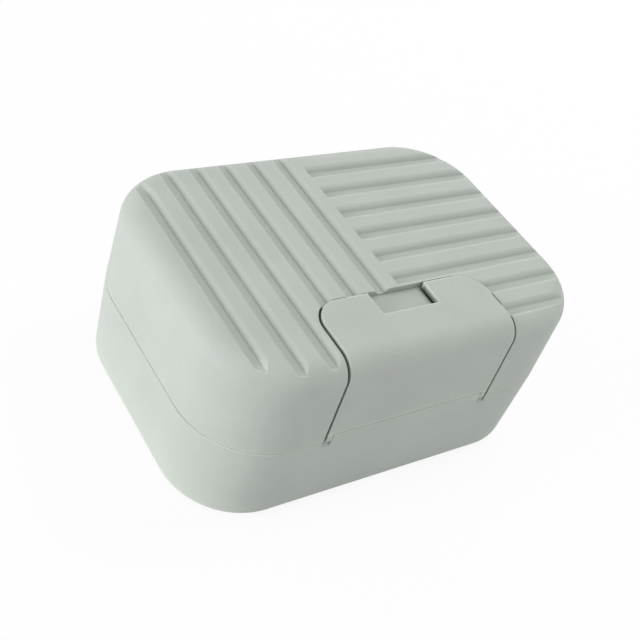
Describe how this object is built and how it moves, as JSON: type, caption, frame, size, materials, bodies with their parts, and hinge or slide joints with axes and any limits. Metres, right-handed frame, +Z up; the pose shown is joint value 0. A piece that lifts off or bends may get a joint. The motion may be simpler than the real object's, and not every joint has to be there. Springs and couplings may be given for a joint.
{
  "type": "covered soap dish",
  "caption": "Covered soap dish: deep base with a loose drain tray, hinged grooved lid with a seal, and a broad latch flap that hooks over the lid.",
  "frame": {"origin": "middle of the base's flat underside, below the middle of the box without its rear hinge knuckles", "axes": "+X along the box's length to the right as seen from the flap, +Y from the flap to the rear hinge, +Z up"},
  "size_m": [0.11, 0.0831, 0.0509],
  "materials": {
    "base_plastic": "fine matte moulded sage grey",
    "lid_plastic": "fine matte moulded sage grey",
    "flap_plastic": "fine matte moulded sage grey",
    "seal_silicone": "soft translucent white silicone",
    "tray_plastic": "fine matte moulded light sage grey",
    "pin_steel": "drawn stainless wire"
  },
  "bodies": {
    "base_body": {"base": "base_plastic", "drain_tray": "tray_plastic", "rear_hinge_pin": "pin_steel"},
    "lid_body": {"lid": "lid_plastic", "lid_seal": "seal_silicone"},
    "latch_body": {"latch_flap": "flap_plastic"}
  },
  "joints": [
    {"name": "lid_hinge", "type": "hinge", "parent": "base_body", "child": "lid_body", "pos_m": [0, 0.0417, 0.0255], "axis": [-1, 0, 0], "range_deg": [0, 95]},
    {"name": "latch_hinge", "type": "hinge", "parent": "base_body", "child": "latch_body", "pos_m": [0, -0.0384, 0.02565], "axis": [1, 0, 0], "range_deg": [0, 150]}
  ],
  "couplings": [
    {"joint": "latch_hinge", "follows": "lid_hinge", "ratio": 1.5785}
  ]
}
